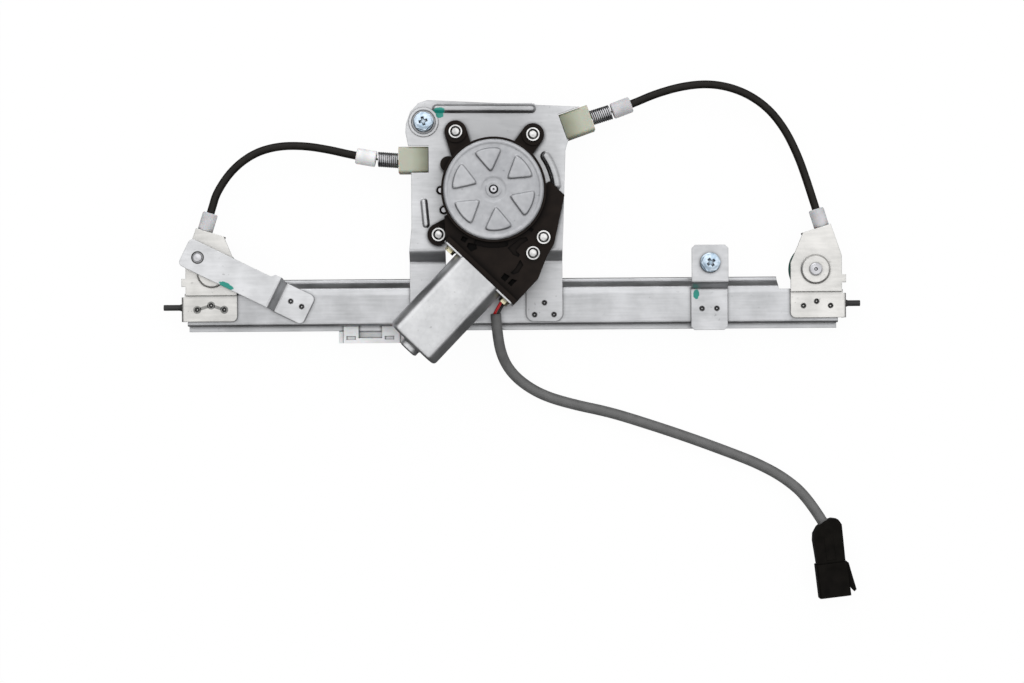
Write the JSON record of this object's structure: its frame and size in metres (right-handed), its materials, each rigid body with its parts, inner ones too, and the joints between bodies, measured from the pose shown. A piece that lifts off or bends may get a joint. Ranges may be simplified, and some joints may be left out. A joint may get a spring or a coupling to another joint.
{
  "type": "window regulator",
  "caption": "Single-rail cable window regulator with a worm gear motor, end pulleys, conduits, slider and a feed cable with its plug.",
  "frame": {"origin": "the drum's axis at the face that the regulator rests on, behind the drum housing", "axes": "+X along the guide rail towards the far end from the slider's rest place, +Z out of the front, where the motor is"},
  "size_m": [0.5479, 0.4077, 0.0592],
  "materials": {
    "galvanised_sheet": "satin",
    "cover_sheet": "satin",
    "can_steel": "satin",
    "blue_zinc": "polished",
    "bush_steel": "satin",
    "yellow_zinc": "satin",
    "plain_steel": "satin",
    "spring_steel": "satin",
    "cable_steel": "stranded",
    "core_steel": "matte",
    "ferrite": "matte",
    "bronze": "satin",
    "brass": "satin",
    "copper": "varnished",
    "black_plastic": "moulded",
    "white_nylon": "moulded",
    "green_nylon": "moulded",
    "pale_nylon": "translucent",
    "conduit_plastic": "extruded",
    "black_rubber": "matte",
    "carbon": "matte",
    "red_insulation": "extruded",
    "black_insulation": "extruded",
    "grey_sleeve": "extruded"
  },
  "bodies": {
    "frame": {"guide_rail": "galvanised_sheet", "motor_plate": "galvanised_sheet", "left_end_bracket": "galvanised_sheet", "right_end_bracket": "galvanised_sheet", "left_mounting_arm": "galvanised_sheet", "right_mounting_bracket": "galvanised_sheet", "gear_cover": "cover_sheet", "motor_can": "can_steel", "mounting_bolts": "blue_zinc", "motor_screws": "bush_steel", "ear_bushes": "bush_steel", "flange_screws": "yellow_zinc", "weld_nuts": "plain_steel", "arm_stud": "plain_steel", "left_pulley_pin": "plain_steel", "right_pulley_pin": "plain_steel", "left_tension_spring": "spring_steel", "right_tension_spring": "spring_steel", "left_cable": "cable_steel", "right_cable": "cable_steel", "magnets": "ferrite", "motor_bearings": "bronze", "plug_terminals": "brass", "gear_housing": "black_plastic", "plug_housing": "black_plastic", "drum_housing": "black_plastic", "brush_holder": "black_plastic", "left_motor_ferrule": "white_nylon", "right_motor_ferrule": "white_nylon", "left_end_ferrule": "white_nylon", "right_end_ferrule": "white_nylon", "plug_lock": "white_nylon", "left_cable_socket": "pale_nylon", "right_cable_socket": "pale_nylon", "left_conduit": "conduit_plastic", "right_conduit": "conduit_plastic", "left_buffer": "black_rubber", "right_buffer": "black_rubber", "wire_grommet": "black_rubber", "brushes": "carbon", "red_wire": "red_insulation", "black_wire": "black_insulation", "harness_sleeve": "grey_sleeve"},
    "carriage": {"slider": "white_nylon", "cable_nipples": "plain_steel", "glass_bush": "brass"},
    "drum": {"cable_drum": "white_nylon", "drum_cable_turns": "cable_steel", "output_shaft": "plain_steel", "worm_wheel": "white_nylon", "wheel_damper": "black_rubber", "wheel_hub": "plain_steel"},
    "armature": {"armature_shaft": "plain_steel", "armature_core": "core_steel", "armature_windings": "copper", "commutator": "copper"},
    "left_pulley": {"left_pulley": "green_nylon"},
    "right_pulley": {"right_pulley": "green_nylon"}
  },
  "joints": [
    {"name": "motor_turn", "type": "hinge", "parent": "frame", "child": "armature", "pos_m": [0.02598, -0.02492, 0.043], "axis": [0.6921, 0.7218, 0], "range_deg": [-14996, 51310]},
    {"name": "drum_turn", "type": "hinge", "parent": "frame", "child": "drum", "pos_m": [0, 0, 0.0125], "axis": [0, 0, 1], "range_deg": [-208, 708]},
    {"name": "slider_travel", "type": "slide", "parent": "frame", "child": "carriage", "axis": [1, 0, 0], "range_m": [-0.093, 0.317]},
    {"name": "left_pulley_turn", "type": "hinge", "parent": "frame", "child": "left_pulley", "pos_m": [-0.2213, -0.06175, 0.0125], "axis": [0, 0, 1], "range_deg": [-300, 1020]},
    {"name": "right_pulley_turn", "type": "hinge", "parent": "frame", "child": "right_pulley", "pos_m": [0.2513, -0.06175, 0.0125], "axis": [0, 0, 1], "range_deg": [-300, 1020]}
  ],
  "couplings": [
    {"joint": "drum_turn", "follows": "motor_turn", "ratio": 0.013699},
    {"joint": "slider_travel", "follows": "motor_turn", "m_per_rad": 0.00035342},
    {"joint": "left_pulley_turn", "follows": "motor_turn", "ratio": 0.0198},
    {"joint": "right_pulley_turn", "follows": "motor_turn", "ratio": 0.0198}
  ]
}
